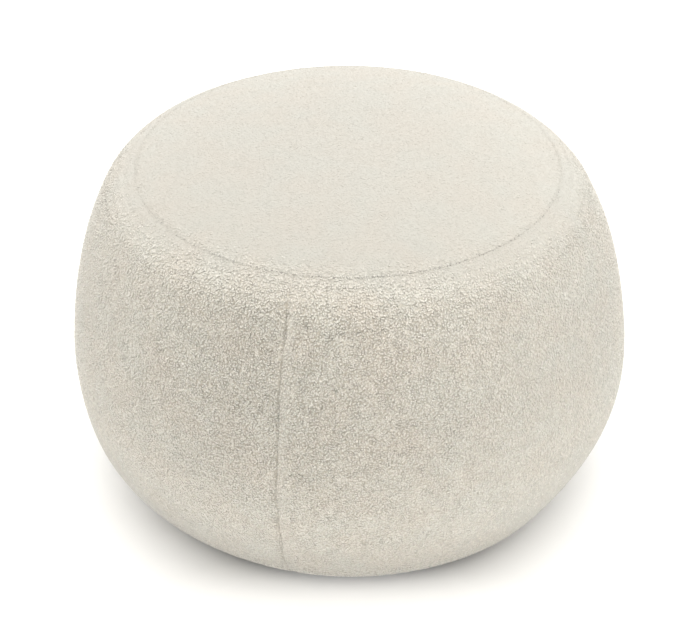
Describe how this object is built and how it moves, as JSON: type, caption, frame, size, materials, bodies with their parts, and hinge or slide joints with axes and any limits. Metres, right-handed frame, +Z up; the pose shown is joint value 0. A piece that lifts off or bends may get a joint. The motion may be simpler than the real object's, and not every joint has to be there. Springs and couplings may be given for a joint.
{
  "type": "round ottoman",
  "caption": "Round pouf ottoman in short curly cream pile cloth, with a crowned top panel, a barrel-shaped side band with an upright seam, and a flat base to rest on.",
  "frame": {"origin": "on the floor under the middle of the ottoman", "axes": "+Z up, -Y towards the front, where the upright seam stands a little to the left of the middle"},
  "size_m": [0.5991, 0.5999, 0.398],
  "materials": {
    "pile_cloth": "short curly cream pile, matt",
    "base_cloth": "plain woven underside cloth, matt"
  },
  "bodies": {
    "root": {"side_band": "pile_cloth", "top_panel": "pile_cloth", "base_panel": "base_cloth"}
  },
  "joints": []
}
